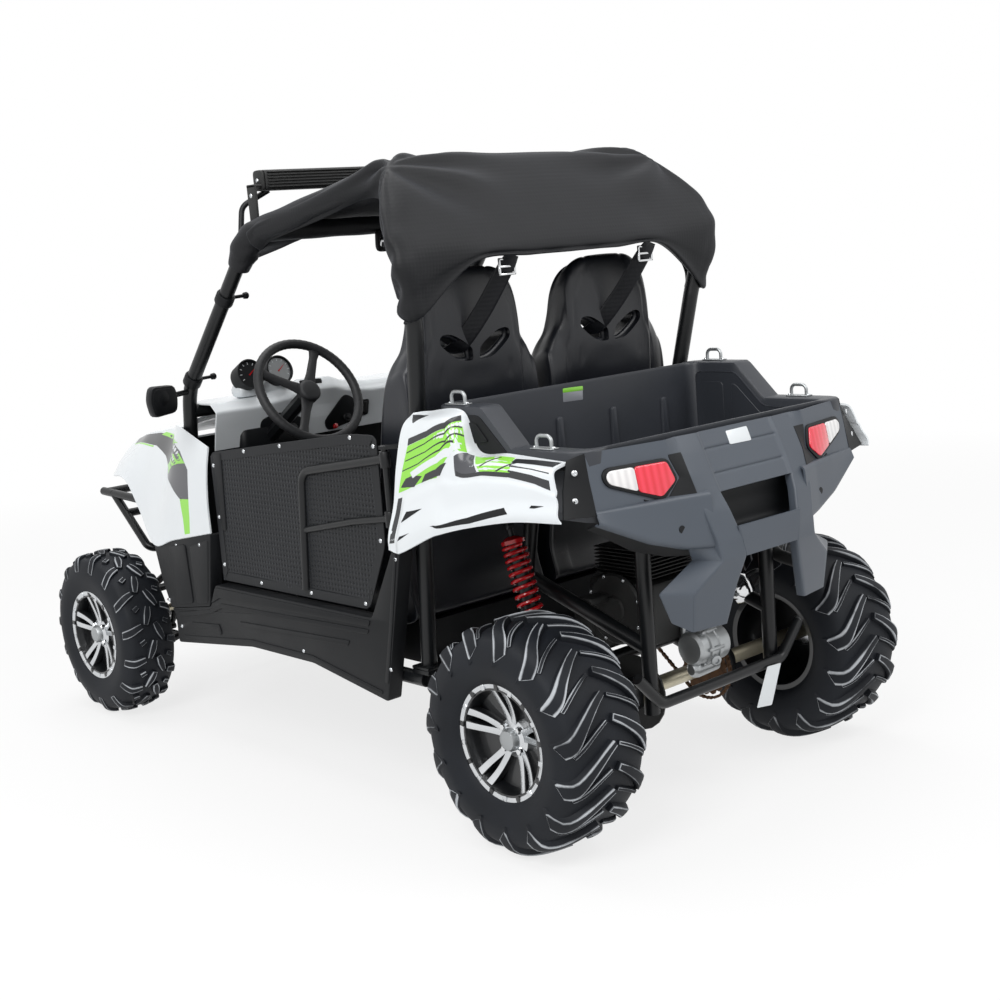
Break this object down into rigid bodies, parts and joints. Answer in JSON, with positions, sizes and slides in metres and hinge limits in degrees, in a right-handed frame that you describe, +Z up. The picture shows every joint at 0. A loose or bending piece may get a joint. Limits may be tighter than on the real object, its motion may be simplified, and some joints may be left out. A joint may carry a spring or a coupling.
{
  "type": "side-by-side utility vehicle",
  "caption": "Two-seat side-by-side off-road utility vehicle with roll cage, canvas canopy, net doors, open cargo bed, steered front wheels and a chain-driven rear axle.",
  "frame": {"origin": "on the ground below the middle of the bounding box", "axes": "+X to the vehicle's left, -Y towards the nose, +Z up"},
  "size_m": [1.404, 2.6626, 1.6599],
  "materials": {
    "tyre_rubber": "matte",
    "machined_alloy": "machined",
    "axle_steel": "satin",
    "sprocket_steel": "satin",
    "disc_steel": "satin",
    "black_tube": "satin",
    "red_spring": "gloss",
    "cast_steel": "cast",
    "cast_alloy": "cast",
    "black_grip": "matte",
    "chain_steel": "satin",
    "bright_pipe": "polished",
    "black_plastic": "textured",
    "black_seat": "textured",
    "white_panel": "gloss",
    "clear_lamp": "clear",
    "bed_plastic": "textured",
    "grey_fascia": "satin",
    "red_lamp": "gloss",
    "black_canvas": "woven",
    "lamp_housing": "satin",
    "door_net": "mesh"
  },
  "bodies": {
    "chassis": {"canopy": "black_canvas", "cargo_bed": "bed_plastic", "chain": "chain_steel", "dashboard": "white_panel", "door_hinges": "black_tube", "drive_sprocket": "sprocket_steel", "engine": "cast_alloy", "exhaust": "bright_pipe", "flare_left": "black_plastic", "flare_right": "black_plastic", "floor_pan": "black_plastic", "frame": "black_tube", "front_arms": "black_tube", "front_bumper": "black_tube", "front_fender_left": "white_panel", "front_fender_right": "white_panel", "front_shocks": "red_spring", "gauge_pods": "black_plastic", "gear_case": "cast_alloy", "headlamps": "clear_lamp", "hood": "white_panel", "interior_mirror": "black_plastic", "light_bar": "lamp_housing", "mirror_left": "black_plastic", "mirror_right": "black_plastic", "nose": "white_panel", "quarter_panel_left": "white_panel", "quarter_panel_right": "white_panel", "rack_housing": "cast_alloy", "rear_fascia": "grey_fascia", "rear_guard_bar": "black_tube", "rear_shocks": "red_spring", "roll_cage": "black_tube", "seat_base": "black_plastic", "seat_left": "black_seat", "seat_right": "black_seat", "sill_left": "black_plastic", "sill_right": "black_plastic", "steering_column": "black_tube", "swing_arm": "black_tube", "tail_lamps": "red_lamp", "tie_down_hooks": "axle_steel"},
    "rear_wheels": {"tyre_rear_left": "tyre_rubber", "tyre_rear_right": "tyre_rubber", "rim_rear_left": "machined_alloy", "rim_rear_right": "machined_alloy", "rear_axle": "axle_steel", "rear_sprocket": "sprocket_steel", "brake_disc": "disc_steel"},
    "knuckle_left_body": {"knuckle_left": "cast_steel"},
    "knuckle_right_body": {"knuckle_right": "cast_steel"},
    "front_wheel_left": {"tyre_front_left": "tyre_rubber", "rim_front_left": "machined_alloy"},
    "front_wheel_right": {"tyre_front_right": "tyre_rubber", "rim_front_right": "machined_alloy"},
    "steering_rack": {"rack_bar": "axle_steel"},
    "steering_wheel_body": {"steering_wheel": "black_grip"},
    "door_left_body": {"door_left": "door_net"},
    "door_right_body": {"door_right": "door_net"}
  },
  "joints": [
    {"name": "rear_axle_spin", "type": "hinge", "parent": "chassis", "child": "rear_wheels", "pos_m": [0, 0.995, 0.2795], "axis": [1, 0, 0], "continuous": true},
    {"name": "steer_left", "type": "hinge", "parent": "chassis", "child": "knuckle_left_body", "pos_m": [0.43, -0.945, 0.2665], "axis": [0, 0, 1], "range_deg": [-28, 28]},
    {"name": "steer_right", "type": "hinge", "parent": "chassis", "child": "knuckle_right_body", "pos_m": [-0.43, -0.945, 0.2665], "axis": [0, 0, 1], "range_deg": [-28, 28]},
    {"name": "front_left_spin", "type": "hinge", "parent": "knuckle_left_body", "child": "front_wheel_left", "pos_m": [0.545, -0.945, 0.2665], "axis": [1, 0, 0], "continuous": true},
    {"name": "front_right_spin", "type": "hinge", "parent": "knuckle_right_body", "child": "front_wheel_right", "pos_m": [-0.545, -0.945, 0.2665], "axis": [1, 0, 0], "continuous": true},
    {"name": "rack_slide", "type": "slide", "parent": "chassis", "child": "steering_rack", "axis": [1, 0, 0], "range_m": [-0.0282, 0.0282]},
    {"name": "steering_wheel_turn", "type": "hinge", "parent": "chassis", "child": "steering_wheel_body", "pos_m": [0.262, -0.12, 1.03], "axis": [0, 0.848, 0.5299], "range_deg": [-168, 168]},
    {"name": "door_left_swing", "type": "hinge", "parent": "chassis", "child": "door_left_body", "pos_m": [0.545, 0.58, 0.82], "axis": [0, 0, 1], "range_deg": [0, 70]},
    {"name": "door_right_swing", "type": "hinge", "parent": "chassis", "child": "door_right_body", "pos_m": [-0.545, 0.58, 0.82], "axis": [0, 0, -1], "range_deg": [0, 70]}
  ],
  "couplings": [
    {"joint": "steer_right", "follows": "steer_left", "ratio": 1},
    {"joint": "rack_slide", "follows": "steer_left", "m_per_rad": -0.05771},
    {"joint": "steering_wheel_turn", "follows": "steer_left", "ratio": 6}
  ]
}
